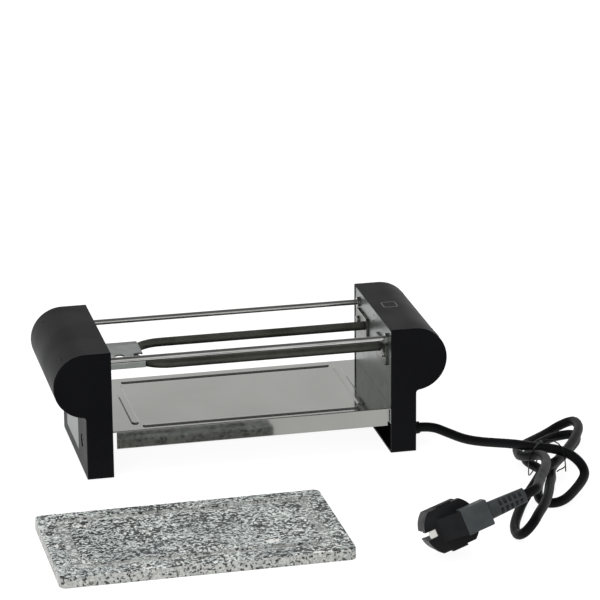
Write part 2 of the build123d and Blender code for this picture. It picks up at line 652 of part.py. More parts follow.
# wire tie: a thin loop drawn round the strands that pass its plane, with two loose ends
tie_plane = Plane(origin=(192.3, -128, 16.2), x_dir=(0.54, 0.842, 0), z_dir=(0.81, -0.52, -0.27))
rings = []
steps = int(hank_path.length)
for i in range(steps):
    a = tie_plane.to_local_coords(hank_path.position_at(i / steps))
    b = tie_plane.to_local_coords(hank_path.position_at((i + 1) / steps))
    if a.Z * b.Z < 0 and hypot(a.X, a.Y) < tie_reach:
        slant = (b - a).length / abs(b.Z - a.Z)
        rings.append((a.X, a.Y, cord_d / 2 * slant + tie_gap + tie_r))
print("strands in the tie", len(rings))
turn = 2 * pi / tie_sides
reach = [max(x * cos(i * turn) + y * sin(i * turn) + r for x, y, r in rings)
         for i in range(tie_sides + 1)]
corners = [Vector(reach[i] * sin((i + 1) * turn) - reach[i + 1] * sin(i * turn),
                  reach[i + 1] * cos(i * turn) - reach[i] * cos((i + 1) * turn)) / sin(turn)
           for i in range(tie_sides)]
sides = [(b - a).length for a, b in zip(corners, corners[1:] + corners[:1])]
loop = FilletPolyline(*corners, radius=[0.45 * min(sides[i - 1], sides[i]) / tan(turn / 2)
                                        for i in range(tie_sides)], close=True)
start = loop.position_at(0)
tie = tie_plane * sweep(Plane(origin=start, z_dir=loop.tangent_at(0)) * Circle(tie_r), path=loop)
knot = tie_plane.from_local_coords(max((loop.position_at(i / 200) for i in range(200)),
                                       key=lambda p: p.X + 2 * p.Y))
for tail in ([tuple(knot), (201, -129, 28.6), (204.5, -133.5, 29.2), (207.5, -139.5, 28.2),
              (208.9, -145.2, 23), (209.1, -147.2, 18), (209.6, -147.6, 10.5)],
             [(209.33, -147.39, 14.5), (206.5, -148.6, 13.2), (204, -149.8, 13.2),
              (202, -151, 12.4)]):
    tie += wire(tail, tie_r)[1]
save("cord_tie", tie)

# --- granite plate ---------------------------------------------------------------------------
stone = Box(stone_l, stone_w, stone_t)
stone = fillet(stone.edges().filter_by(Axis.Z), stone_corner)
stone = fillet(stone.faces().sort_by(Axis.Z)[-1].edges(), stone_ease)
groove_l, groove_b = stone_l - 2 * groove_in, stone_w - 2 * groove_in
ring = RectangleRounded(groove_l, groove_b, 6) - RectangleRounded(
    groove_l - 2 * groove_w, groove_b - 2 * groove_w, 3)
groove = extrude(Plane.XY.offset(stone_t / 2 - groove_d) * ring, groove_d + 1)
stone -= groove
save("stone_plate", Pos(stone_x, stone_y, stone_t / 2) * Rot(0, 0, stone_turn) * stone)
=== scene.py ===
import bpy
import math
from mathutils import Matrix, Vector


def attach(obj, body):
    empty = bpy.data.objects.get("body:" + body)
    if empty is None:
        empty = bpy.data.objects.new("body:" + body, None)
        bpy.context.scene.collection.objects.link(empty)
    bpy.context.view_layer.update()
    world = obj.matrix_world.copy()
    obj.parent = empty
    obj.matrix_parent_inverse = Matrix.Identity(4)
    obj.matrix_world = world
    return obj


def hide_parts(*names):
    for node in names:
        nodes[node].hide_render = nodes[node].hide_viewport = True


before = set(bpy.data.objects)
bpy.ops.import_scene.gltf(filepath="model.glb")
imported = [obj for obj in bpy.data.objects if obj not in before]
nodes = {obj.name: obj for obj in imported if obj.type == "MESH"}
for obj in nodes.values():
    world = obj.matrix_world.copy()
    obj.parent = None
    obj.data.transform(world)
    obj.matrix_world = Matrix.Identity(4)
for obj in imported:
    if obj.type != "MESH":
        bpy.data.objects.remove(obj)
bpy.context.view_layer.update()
print("frame loaded:", len(nodes), "nodes")

# camera as in the photograph
view = {"azimuth": -12.53, "elevation": 18.36, "roll": -0.49, "lens": 191.87,
        "place": (-0.43938, -2.19300, 0.85069), "shiftX": 0.00048, "shiftY": 0.00096,
        "sensor": 36.0, "far": 50}
cameraData = bpy.data.cameras.new("photoCamera")
cameraData.lens = view["lens"]
cameraData.sensor_width = view["sensor"]
cameraData.shift_x = view["shiftX"]
cameraData.shift_y = view["shiftY"]
cameraData.clip_end = view["far"]
camera = bpy.data.objects.new("photoCamera", cameraData)
bpy.context.scene.collection.objects.link(camera)
turn = (Matrix.Rotation(math.radians(view["azimuth"]), 4, "Z")
        @ Matrix.Rotation(math.radians(90 - view["elevation"]), 4, "X")
        @ Matrix.Rotation(math.radians(view["roll"]), 4, "Z"))
camera.matrix_world = Matrix.Translation(view["place"]) @ turn
bpy.context.scene.camera = camera
bpy.context.scene.view_settings.view_transform = "Standard"
print("camera set")

# power cord, from the gland to the plug's ribbed relief
cord = {"thick": 0.007, "length": 1.059, "exit": (0.1276, -0.046, 0.0146),
        "steps": 10, "sides": 6}
cordPoints = [
    # out of the gland and over the table
    (127.6, -46, 14.6), (137, -46, 14.6), (147, -54.5, 11.8), (156, -68, 10.8),
    (165, -81, 12.715), (174, -94.5, 16), (184, -109.5, 19.65), (194, -122.5, 21.3),
    # large right loop, back down to the near end
    (205, -135.5, 23.9), (215, -141, 20.9), (221.5, -146, 15), (222, -155, 11),
    (216.5, -164, 8.5), (206, -176.5, 6), (198, -184.5, 4.6), (190, -188, 3.7),
    (182.5, -185, 3.6), (181, -175.5, 3.6), (184, -163, 3.6), (189, -149, 3.6),
    (195.5, -136, 3.8),
    # up through the tie and round the far loop
    (197.5, -126, 5), (193, -115, 5.4), (192, -104.5, 5), (196, -95, 4.4),
    (204, -83.5, 5.4), (214, -75, 6), (223, -67, 5.4), (231, -63.5, 5), (239, -65, 6.2),
    (241, -73, 7.2), (237, -84, 7.4), (228, -97.5, 7.4), (217, -112.5, 7.6),
    (207, -127, 8.3), (200.5, -140, 9), (197, -154, 9.4), (192.5, -167, 12.6),
    (188, -179, 15.5), (183, -194, 17), (176.5, -211, 18.5), (169, -226, 18.3),
    (162, -237, 17.6),
    # near loop, its far strand on the table
    (156.5, -245.5, 15.5), (150, -247.5, 9.5), (147, -239.5, 4), (148, -228, 3.6),
    (152, -215, 3.6), (158, -201.5, 3.7), (165, -187, 4.7), (172, -177, 7.4),
    (181, -166.5, 11.6), (190, -155, 15.8), (199, -147, 17.3), (206, -137.5, 15),
    # second far loop
    (217, -121.5, 15.4), (227, -106, 15.2), (235.5, -90.5, 15.2), (242, -75.5, 15),
    (244.5, -61, 13.8), (243.5, -51.5, 11.5), (235, -48, 7), (224, -54.5, 4.4),
    (212.5, -63, 3.8), (202, -72, 4.3), (195, -82, 6.2), (188.5, -94, 9.9),
    # under the lead, through the tie and back to the plug
    (185.5, -110, 11.2), (183, -124, 16), (184.5, -136, 20), (189.5, -146, 24.5),
    (190, -158, 28), (187, -173, 30.5), (181.5, -190, 33.7), (175, -206.5, 37),
    (168.5, -221.5, 39.4), (162.5, -236, 41.8), (158, -249, 44.2),
    (152.52, -261.08, 45.8), (144.36, -261.97, 43.22)]
cordCurve = bpy.data.curves.new("cordLine", "CURVE")
cordCurve.dimensions = "3D"
cordSpline = cordCurve.splines.new("NURBS")
cordSpline.points.add(len(cordPoints) - 1)
for point, place in zip(cordSpline.points, cordPoints):
    point.co = (place[0] / 1000, place[1] / 1000, place[2] / 1000, 1)
    point.radius = cord["thick"] / 2
cordSpline.order_u = 3
cordSpline.use_endpoint_u = True
cordSpline.resolution_u = cord["steps"]
cordCurve.bevel_depth = 1.0  # the points carry the radius
cordCurve.bevel_resolution = cord["sides"]
cordCurve.use_fill_caps = True
cordLine = bpy.data.objects.new("cordLine", cordCurve)
bpy.context.scene.collection.objects.link(cordLine)
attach(cordLine, "grill")
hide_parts("power_lead", "cord_hank")
print("cord laid")


# shader groups shared by the materials
def newGroup(name, inputs, outputs):
    group = bpy.data.node_groups.new(name, "ShaderNodeTree")
    for label, kind, value in inputs:
        socket = group.interface.new_socket(label, in_out="INPUT", socket_type=kind)
        socket.default_value = value
    for label, kind in outputs:
        group.interface.new_socket(label, in_out="OUTPUT", socket_type=kind)
    start = group.nodes.new("NodeGroupInput")
    end = group.nodes.new("NodeGroupOutput")
    return group, start, end


def addNode(tree, kind, **values):
    node = tree.nodes.new("ShaderNode" + kind)
    for label, value in values.items():
        setattr(node, label, value)
    return node


def link(tree, source, target):
    tree.links.new(source, target)


def mathNode(tree, operation, first, second=None, clamp=False):
    node = addNode(tree, "Math", operation=operation, use_clamp=clamp)
    for index, value in enumerate((first, second)):
        if value is None:
            continue
        if isinstance(value, (int, float)):
            node.inputs[index].default_value = value
        else:
            link(tree, value, node.inputs[index])
    return node.outputs[0]


def remap(tree, source, low, high, toLow=0.0, toHigh=1.0):
    node = addNode(tree, "MapRange")
    link(tree, source, node.inputs["Value"])
    for label, value in (("From Min", low), ("From Max", high), ("To Min", toLow),
                         ("To Max", toHigh)):
        if isinstance(value, (int, float)):
            node.inputs[label].default_value = value
        else:
            link(tree, value, node.inputs[label])
    return node.outputs["Result"]


# where each group's masks begin and end
spread = {"cloud": (0.3, 0.7), "smear": (0.32, 0.68), "rim": (0.99, 0.86), "broken": (0.35, 0.65),
          "line": (1.0, 0.6), "upward": (0.85, 0.95)}


# fine moulded or cast grain: a height for the bump and a cloudy mask
def buildGrain():
    group, start, end = newGroup(
        "surfaceGrain",
        [("Scale", "NodeSocketFloat", 600.0), ("Cloud Scale", "NodeSocketFloat", 30.0)],
        [("Height", "NodeSocketFloat"), ("Cloud", "NodeSocketFloat")])
    where = addNode(group, "TexCoord")
    fine = addNode(group, "TexNoise")
    fine.inputs["Detail"].default_value = 3.0
    link(group, where.outputs["Object"], fine.inputs["Vector"])
    link(group, start.outputs["Scale"], fine.inputs["Scale"])
    cloud = addNode(group, "TexNoise")
    cloud.inputs["Detail"].default_value = 4.0
    link(group, where.outputs["Object"], cloud.inputs["Vector"])
    link(group, start.outputs["Cloud Scale"], cloud.inputs["Scale"])
    link(group, fine.outputs["Fac"], end.inputs["Height"])
    link(group, remap(group, cloud.outputs["Fac"], *spread["cloud"]), end.inputs["Cloud"])
    return group


# blends two colours by a mask, with a last lighter colour on rubbed edges
def buildTint():
    group, start, end = newGroup(
        "twoTone",
        [("First", "NodeSocketColor", (0, 0, 0, 1)), ("Second", "NodeSocketColor", (1, 1, 1, 1)),
         ("Edge", "NodeSocketColor", (1, 1, 1, 1)), ("Mask", "NodeSocketFloat", 0.5),
         ("Edge Mask", "NodeSocketFloat", 0.0)],
        [("Color", "NodeSocketColor")])
    base = addNode(group, "Mix", data_type="RGBA")
    link(group, start.outputs["Mask"], base.inputs["Factor"])
    link(group, start.outputs["First"], base.inputs[6])
    link(group, start.outputs["Second"], base.inputs[7])
    edge = addNode(group, "Mix", data_type="RGBA")
    link(group, start.outputs["Edge Mask"], edge.inputs["Factor"])
    link(group, base.outputs[2], edge.inputs[6])
    link(group, start.outputs["Edge"], edge.inputs[7])
    link(group, edge.outputs[2], end.inputs["Color"])
    return group


# light handling wear where two faces meet, broken up by noise
def buildEdge():
    group, start, end = newGroup(
        "rubbedEdge",
        [("Radius", "NodeSocketFloat", 0.0008), ("Amount", "NodeSocketFloat", 0.5),
         ("Break Scale", "NodeSocketFloat", 150.0)],
        [("Mask", "NodeSocketFloat"), ("Normal", "NodeSocketVector")])
    soft = addNode(group, "Bevel", samples=6)
    link(group, start.outputs["Radius"], soft.inputs["Radius"])
    shape = addNode(group, "NewGeometry")
    dot = addNode(group, "VectorMath", operation="DOT_PRODUCT")
    link(group, soft.outputs["Normal"], dot.inputs[0])
    link(group, shape.outputs["Normal"], dot.inputs[1])
    rim = remap(group, dot.outputs["Value"], *spread["rim"])
    where = addNode(group, "TexCoord")
    broken = addNode(group, "TexNoise")
    broken.inputs["Detail"].default_value = 4.0
    link(group, where.outputs["Object"], broken.inputs["Vector"])
    link(group, start.outputs["Break Scale"], broken.inputs["Scale"])
    patch = remap(group, broken.outputs["Fac"], *spread["broken"])
    mask = mathNode(group, "MULTIPLY", mathNode(group, "MULTIPLY", rim, patch),
                    start.outputs["Amount"], clamp=True)
    link(group, mask, end.inputs["Mask"])
    link(group, soft.outputs["Normal"], end.inputs["Normal"])
    return group


# drawn or rolled lines along one direction, set by the stretch of the coordinates
def buildRolled():
    group, start, end = newGroup(
        "rolledLines",
        [("Stretch", "NodeSocketVector", (20.0, 900.0, 900.0)),
         ("Smear Scale", "NodeSocketFloat", 14.0)],
        [("Height", "NodeSocketFloat"), ("Smear", "NodeSocketFloat")])
    where = addNode(group, "TexCoord")
    scaled = addNode(group, "VectorMath", operation="MULTIPLY")
    link(group, where.outputs["Object"], scaled.inputs[0])
    link(group, start.outputs["Stretch"], scaled.inputs[1])
    lines = addNode(group, "TexNoise")
    lines.inputs["Scale"].default_value = 1.0
    lines.inputs["Detail"].default_value = 2.0
    link(group, scaled.outputs[0], lines.inputs["Vector"])
    smear = addNode(group, "TexNoise")
    smear.inputs["Detail"].default_value = 3.0
    smear.inputs["Distortion"].default_value = 0.6
    link(group, where.outputs["Object"], smear.inputs["Vector"])
    link(group, start.outputs["Smear Scale"], smear.inputs["Scale"])
    link(group, lines.outputs["Fac"], end.inputs["Height"])
    link(group, remap(group, smear.outputs["Fac"], *spread["smear"]), end.inputs["Smear"])
    return group


# thin outline of a rounded field on an upper face, left bare inside
def buildOutline():
    group, start, end = newGroup(
        "roundOutline",
        [("Middle", "NodeSocketVector", (0.0, 0.0, 0.0)),
         ("Half Size", "NodeSocketVector", (0.004, 0.004, 1.0)),
         ("Round", "NodeSocketFloat", 0.002), ("Line", "NodeSocketFloat", 0.0002)],
        [("Mask", "NodeSocketFloat")])
    where = addNode(group, "TexCoord")
    offset = addNode(group, "VectorMath", operation="SUBTRACT")
    link(group, where.outputs["Object"], offset.inputs[0])
    link(group, start.outputs["Middle"], offset.inputs[1])
    side = addNode(group, "VectorMath", operation="ABSOLUTE")
    link(group, offset.outputs[0], side.inputs[0])
    over = addNode(group, "VectorMath", operation="SUBTRACT")
    link(group, side.outputs[0], over.inputs[0])
    link(group, start.outputs["Half Size"], over.inputs[1])
    outside = addNode(group, "VectorMath", operation="MAXIMUM")
    link(group, over.outputs[0], outside.inputs[0])
    length = addNode(group, "VectorMath", operation="LENGTH")
    link(group, outside.outputs[0], length.inputs[0])
    away = mathNode(group, "ABSOLUTE",
                    mathNode(group, "SUBTRACT", length.outputs["Value"], start.outputs["Round"]))
    line = remap(group, mathNode(group, "DIVIDE", away, start.outputs["Line"]), *spread["line"])
    shape = addNode(group, "NewGeometry")
    axes = addNode(group, "SeparateXYZ")
    link(group, shape.outputs["True Normal"], axes.inputs[0])
    up = remap(group, axes.outputs["Z"], *spread["upward"])
    link(group, mathNode(group, "MULTIPLY", line, up), end.inputs["Mask"])
    return group


surfaceGrain = buildGrain()
twoTone = buildTint()
rubbedEdge = buildEdge()
rolledLines = buildRolled()
roundOutline = buildOutline()
print("shader groups built")


def newMaterial(name, metallic=0.0, specular=0.5):
    material = bpy.data.materials.new(name)
    material.use_nodes = True
    tree = material.node_tree
    shader = tree.nodes["Principled BSDF"]
    shader.inputs["Metallic"].default_value = metallic
    shader.inputs["Specular IOR Level"].default_value = specular
    return material, tree, shader


def place(tree, group, **values):
    node = tree.nodes.new("ShaderNodeGroup")
    node.node_tree = group
    for label, value in values.items():
        node.inputs[label.replace("_", " ")].default_value = value
    return node


def bump(tree, shader, height, distance, strength=1.0, normal=None):
    node = addNode(tree, "Bump")
    node.inputs["Distance"].default_value = distance
    node.inputs["Strength"].default_value = strength
    link(tree, height, node.inputs["Height"])
    if normal is not None:
        link(tree, normal, node.inputs["Normal"])
    link(tree, node.outputs["Normal"], shader.inputs["Normal"])


def rgba(value):
    return (value[0], value[1], value[2], 1.0)


# moulded plastic and rubber: grain, cloudy tint and a lighter rubbed edge
def mouldedMaterial(name, look):
    material, tree, shader = newMaterial(name, specular=look.get("specular", 0.5))
    grain = place(tree, surfaceGrain, Scale=look["grain"], Cloud_Scale=look["cloud"])
    edge = place(tree, rubbedEdge, Radius=look["edge"], Amount=look["wear"])
    tint = place(tree, twoTone, First=rgba(look["dark"]), Second=rgba(look["light"]),
                 Edge=rgba(look["worn"]))
    link(tree, grain.outputs["Cloud"], tint.inputs["Mask"])
    link(tree, edge.outputs["Mask"], tint.inputs["Edge Mask"])
    colour = tint.outputs["Color"]
    # a light grey line along a rounded outline on the upper face
    if "mark" in look:
        ring = place(tree, roundOutline, **look["mark"])
        lineTone = place(tree, twoTone, Second=rgba(look["lineTone"]))
        link(tree, colour, lineTone.inputs["First"])
        link(tree, ring.outputs["Mask"], lineTone.inputs["Mask"])
        colour = lineTone.outputs["Color"]
    link(tree, colour, shader.inputs["Base Color"])
    link(tree, remap(tree, grain.outputs["Cloud"], 0, 1, *look["rough"]),
         shader.inputs["Roughness"])
    bump(tree, shader, grain.outputs["Height"], look["relief"], 1.0, edge.outputs["Normal"])
    return material


# rolled or drawn metal: fine lines, a smeary tint and roughness, softened edges
def rolledMaterial(name, look):
    material, tree, shader = newMaterial(name, metallic=look.get("metallic", 1.0))
    lines = place(tree, rolledLines, Stretch=look["stretch"], Smear_Scale=look["smear"])
    edge = place(tree, rubbedEdge, Radius=look["edge"], Amount=look["wear"])
    tint = place(tree, twoTone, First=rgba(look["dark"]), Second=rgba(look["light"]),
                 Edge=rgba(look["worn"]))
    link(tree, lines.outputs["Smear"], tint.inputs["Mask"])
    link(tree, edge.outputs["Mask"], tint.inputs["Edge Mask"])
    link(tree, tint.outputs["Color"], shader.inputs["Base Color"])
    link(tree, remap(tree, lines.outputs["Smear"], 0, 1, *look["rough"]),
         shader.inputs["Roughness"])
    normal = edge.outputs["Normal"]
    if "lean" in look:
        # the thin sheet stands a little out of true, so its skirt mirrors further out
        tipped = addNode(tree, "VectorMath", operation="ADD")
        link(tree, normal, tipped.inputs[0])
        tipped.inputs[1].default_value = (0.0, 0.0, look["lean"])
        straight = addNode(tree, "VectorMath", operation="NORMALIZE")
        link(tree, tipped.outputs[0], straight.inputs[0])
        normal = straight.outputs[0]
    bump(tree, shader, lines.outputs["Height"], look["relief"], 1.0, normal)
    return material


casingLook = {"grain": 900, "cloud": 25, "edge": 0.0009, "wear": 0.30, "specular": 0.07,
              "dark": (0.0030, 0.0031, 0.0040), "light": (0.0048, 0.0050, 0.0060),
              "worn": (0.016, 0.016, 0.018), "rough": (0.42, 0.52), "relief": 0.00007}
rightCasingLook = dict(casingLook, lineTone=(0.16, 0.16, 0.165),
                       mark={"Middle": (0.1168, 0.0018, 0.0), "Round": 0.0016,
                             "Half_Size": (0.0036, 0.0042, 1.0), "Line": 0.00042})
switchLook = {"grain": 300, "cloud": 60, "edge": 0.0003, "wear": 0.2, "specular": 0.25,
              "dark": (0.004, 0.004, 0.005), "light": (0.006, 0.006, 0.007),
              "worn": (0.02, 0.02, 0.02), "rough": (0.18, 0.26), "relief": 0.00001}
cordLook = {"grain": 1200, "cloud": 60, "edge": 0.0003, "wear": 0.0, "specular": 0.08,
            "dark": (0.0034, 0.0036, 0.0042), "light": (0.0060, 0.0062, 0.0070),
            "worn": (0.03, 0.03, 0.03), "rough": (0.44, 0.54), "relief": 0.00004}
plugLook = {"grain": 1500, "cloud": 90, "edge": 0.0005, "wear": 0.35, "specular": 0.12,
            "dark": (0.0060, 0.0062, 0.0070), "light": (0.0130, 0.0134, 0.0146),
            "worn": (0.030, 0.030, 0.033), "rough": (0.40, 0.52), "relief": 0.00005}
hoodLook = dict(plugLook, dark=(0.054, 0.061, 0.064), light=(0.080, 0.088, 0.091),
                worn=(0.03, 0.03, 0.03))
reliefLook = dict(plugLook, dark=(0.036, 0.040, 0.042), light=(0.056, 0.061, 0.063))
padLook = dict(plugLook, dark=(0.01, 0.01, 0.01), light=(0.02, 0.02, 0.02))
wireLook = dict(cordLook, grain=3000, rough=(0.3, 0.4))
nylonLook = dict(plugLook, dark=(0.60, 0.56, 0.48), light=(0.68, 0.64, 0.56),
                 worn=(0.75, 0.72, 0.66), wear=0.2)
sealLook = dict(plugLook, dark=(0.55, 0.50, 0.42), light=(0.65, 0.60, 0.52),
                worn=(0.7, 0.66, 0.6), rough=(0.6, 0.75))
trayLook = {"stretch": (3.0, 60.0, 60.0), "smear": 9, "edge": 0.0006, "wear": 0.2,
            "dark": (0.265, 0.265, 0.250), "light": (0.310, 0.310, 0.295),
            "worn": (0.31, 0.31, 0.295), "rough": (0.06, 0.10), "relief": 0.00001, "lean": 0.05}
rodLook = {"stretch": (6.0, 120.0, 120.0), "smear": 30, "edge": 0.0003, "wear": 0.0,
           "dark": (0.42, 0.42, 0.41), "light": (0.52, 0.52, 0.51), "worn": (0.6, 0.6, 0.6),
           "rough": (0.10, 0.16), "relief": 0.000004}
screwLook = {"stretch": (900.0, 900.0, 900.0), "smear": 120, "edge": 0.0003, "wear": 0.5,
             "dark": (0.28, 0.28, 0.27), "light": (0.42, 0.42, 0.40), "worn": (0.62, 0.62, 0.60),
             "rough": (0.22, 0.34), "relief": 0.00001}
sunkScrewLook = dict(screwLook, dark=(0.05, 0.05, 0.05), light=(0.09, 0.09, 0.09),
                     worn=(0.2, 0.2, 0.2))
foilLook = {"stretch": (40.0, 40.0, 2500.0), "smear": 40, "edge": 0.0003, "wear": 0.2,
            "dark": (0.15, 0.16, 0.16), "light": (0.26, 0.27, 0.27), "worn": (0.5, 0.5, 0.5),
            "rough": (0.30, 0.42), "relief": 0.000008}
pinLook = dict(screwLook, dark=(0.60, 0.59, 0.56), light=(0.70, 0.69, 0.66), rough=(0.16, 0.26))
brassLook = dict(screwLook, dark=(0.50, 0.36, 0.14), light=(0.62, 0.47, 0.20),
                 worn=(0.75, 0.6, 0.3))
heaterLook = {"stretch": (60.0, 700.0, 700.0), "smear": 60, "edge": 0.0003, "wear": 0.0,
              "metallic": 0.5, "dark": (0.040, 0.042, 0.034), "light": (0.070, 0.073, 0.060),
              "worn": (0.1, 0.1, 0.08), "rough": (0.36, 0.50), "relief": 0.00002}


# galvanised sheet: large dull zinc spangle over the rolled steel
def galvanisedMaterial(name, look):
    material, tree, shader = newMaterial(name, metallic=1.0)
    where = addNode(tree, "TexCoord")
    drift = addNode(tree, "TexNoise")
    drift.inputs["Scale"].default_value = look["scale"] * look["drift"]
    link(tree, where.outputs["Object"], drift.inputs["Vector"])
    bend = addNode(tree, "Mix", data_type="VECTOR")
    bend.inputs["Factor"].default_value = look["bend"]
    link(tree, where.outputs["Object"], bend.inputs[4])
    link(tree, drift.outputs["Color"], bend.inputs[5])
    cells = addNode(tree, "TexVoronoi")
    cells.inputs["Scale"].default_value = look["scale"]
    link(tree, bend.outputs[1], cells.inputs["Vector"])
    split = addNode(tree, "SeparateColor")
    link(tree, cells.outputs["Color"], split.inputs["Color"])
    edge = place(tree, rubbedEdge, Radius=look["edge"], Amount=look["wear"])
    tint = place(tree, twoTone, First=rgba(look["dark"]), Second=rgba(look["light"]),
                 Edge=rgba(look["worn"]))
    link(tree, split.outputs["Red"], tint.inputs["Mask"])
    link(tree, edge.outputs["Mask"], tint.inputs["Edge Mask"])
    colour = tint.outputs["Color"]
    if "blackBelow" in look:
        # the sheet is black, with no metal sheen, below the tray
        height = addNode(tree, "SeparateXYZ")
        link(tree, where.outputs["Object"], height.inputs[0])
        belowTray = remap(tree, height.outputs["Z"], look["blackBelow"] + look["fade"],
                     look["blackBelow"])
        blackened = place(tree, twoTone, Second=rgba(look["belowTray"]))
        link(tree, colour, blackened.inputs["First"])
        link(tree, belowTray, blackened.inputs["Mask"])
        colour = blackened.outputs["Color"]
        link(tree, remap(tree, belowTray, 0, 1, 1.0, 0.0), shader.inputs["Metallic"])
        shader.inputs["Specular IOR Level"].default_value = 0.0
    link(tree, colour, shader.inputs["Base Color"])
    link(tree, remap(tree, split.outputs["Green"], 0, 1, *look["rough"]),
         shader.inputs["Roughness"])
    grain = place(tree, surfaceGrain, Scale=look["grain"], Cloud_Scale=look["cloud"])
    bump(tree, shader, grain.outputs["Height"], look["relief"], 1.0, edge.outputs["Normal"])
    return material


zincLook = {"scale": 110, "drift": 0.6, "bend": 0.004, "edge": 0.0004, "wear": 0.3,
            "grain": 800, "cloud": 50,
            "dark": (0.205, 0.222, 0.216), "light": (0.245, 0.262, 0.255),
            "worn": (0.42, 0.44, 0.43), "rough": (0.32, 0.38), "relief": 0.000006}
sideZincLook = dict(zincLook, blackBelow=0.0222, fade=0.0002, belowTray=(0.004, 0.004, 0.005))
# flanges: the same zinc made darker as painted shade, and a little warmer
shadedFlangeLook = dict(zincLook, scale=400, dark=(0.120, 0.124, 0.114), light=(0.165, 0.170, 0.156),
                  worn=(0.30, 0.29, 0.25), rough=(0.26, 0.36))
bracketLook = dict(zincLook, dark=(0.29, 0.31, 0.30), light=(0.34, 0.36, 0.35))


# grey granite: small pale grains, black flecks drawn out in wavy lines, blue-grey clouds
def graniteMaterial(name, look):
    material, tree, shader = newMaterial(name, specular=0.4)
    where = addNode(tree, "TexCoord")

    def stretched(source, factors):
        node = addNode(tree, "VectorMath", operation="MULTIPLY")
        link(tree, source, node.inputs[0])
        node.inputs[1].default_value = factors
        return node.outputs[0]

    def noise(vector, scale, detail=2.0):
        node = addNode(tree, "TexNoise")
        node.inputs["Scale"].default_value = scale
        node.inputs["Detail"].default_value = detail
        link(tree, vector, node.inputs["Vector"])
        return node

    def cells(vector, scale):
        node = addNode(tree, "TexVoronoi")
        node.inputs["Scale"].default_value = scale
        link(tree, vector, node.inputs["Vector"])
        parts = addNode(tree, "SeparateColor")
        link(tree, node.outputs["Color"], parts.inputs["Color"])
        return parts.outputs["Red"]

    def blend(factor, first, second):
        node = addNode(tree, "Mix", data_type="RGBA")
        link(tree, factor, node.inputs["Factor"])
        for value, socket in ((first, node.inputs[6]), (second, node.inputs[7])):
            if isinstance(value, tuple):
                socket.default_value = rgba(value)
            else:
                link(tree, value, socket)
        return node.outputs[2]

    drift = noise(where.outputs["Object"], look["driftScale"], 4.0)
    shift = addNode(tree, "VectorMath", operation="MULTIPLY_ADD")
    link(tree, drift.outputs["Color"], shift.inputs[0])
    shift.inputs[1].default_value = (look["drift"],) * 3
    link(tree, where.outputs["Object"], shift.inputs[2])
    wavy = shift.outputs[0]

    grain = noise(stretched(wavy, look["grainStretch"]), look["grainScale"], 4.0)
    tone = remap(tree, grain.outputs["Fac"], *look["grainRange"])
    ramp = addNode(tree, "ValToRGB")
    stops = look["stops"]
    while len(ramp.color_ramp.elements) < len(stops):
        ramp.color_ramp.elements.new(0.5)
    for element, (position, colour) in zip(ramp.color_ramp.elements, stops):
        element.position = position
        element.color = rgba(colour)
    link(tree, tone, ramp.inputs["Fac"])
    cloud = noise(stretched(wavy, look["cloudStretch"]), look["cloudScale"], 3.0)
    cloudMask = mathNode(tree, "MULTIPLY", remap(tree, cloud.outputs["Fac"], *look["cloudRange"]),
                         look["cloudAmount"])
    colour = blend(cloudMask, ramp.outputs["Color"], look["cloudColour"])
    patch = noise(stretched(wavy, look["patchStretch"]), look["patchScale"], 1.0)
    colour = blend(remap(tree, patch.outputs["Fac"], *look["patchRange"]), colour,
                   look["patchColour"])
    # black mica, drawn out along X and gathered in bands
    fleck = noise(stretched(wavy, look["fleckStretch"]), look["fleckScale"], 3.0)
    band = noise(stretched(wavy, look["bandStretch"]), look["bandScale"], 3.0)
    level = mathNode(tree, "ADD", fleck.outputs["Fac"],
                     mathNode(tree, "MULTIPLY", band.outputs["Fac"], look["bandAmount"]))
    fleckMask = remap(tree, level, look["fleckFrom"], look["fleckFrom"] + look["fleckStep"])
    colour = blend(mathNode(tree, "MULTIPLY", fleckMask, look["fleckAmount"]), colour,
                   look["mica"])

    # sawn edge: paler and warmer with scattered dots; the groove floor is dusty
    shape = addNode(tree, "NewGeometry")
    axes = addNode(tree, "SeparateXYZ")
    link(tree, shape.outputs["True Normal"], axes.inputs[0])
    height = addNode(tree, "SeparateXYZ")
    link(tree, where.outputs["Object"], height.inputs[0])
    sawn = remap(tree, axes.outputs["Z"], *look["sawnRange"])
    dots = remap(tree, cells(wavy, look["dotScale"]), *look["dotRange"])
    sawnColour = blend(dots, look["sawn"], look["dot"])
    colour = blend(mathNode(tree, "MULTIPLY", sawn, look["sawnAmount"]), colour, sawnColour)
    low = mathNode(tree, "MULTIPLY",
                   remap(tree, height.outputs["Z"], look["grooveLevel"] + look["grooveFade"],
                         look["grooveLevel"]),
                   remap(tree, axes.outputs["Z"], *look["levelRange"]))
    colour = blend(mathNode(tree, "MULTIPLY", low, look["dusty"]), colour, look["dust"])
    link(tree, colour, shader.inputs["Base Color"])
    fine = place(tree, surfaceGrain, Scale=look["fine"], Cloud_Scale=look["fineCloud"])
    link(tree, remap(tree, fine.outputs["Cloud"], 0, 1, *look["rough"]),
         shader.inputs["Roughness"])
    edge = place(tree, rubbedEdge, Radius=look["edge"], Amount=0.0)
    bump(tree, shader, fine.outputs["Height"], look["relief"], 1.0, edge.outputs["Normal"])
    return material


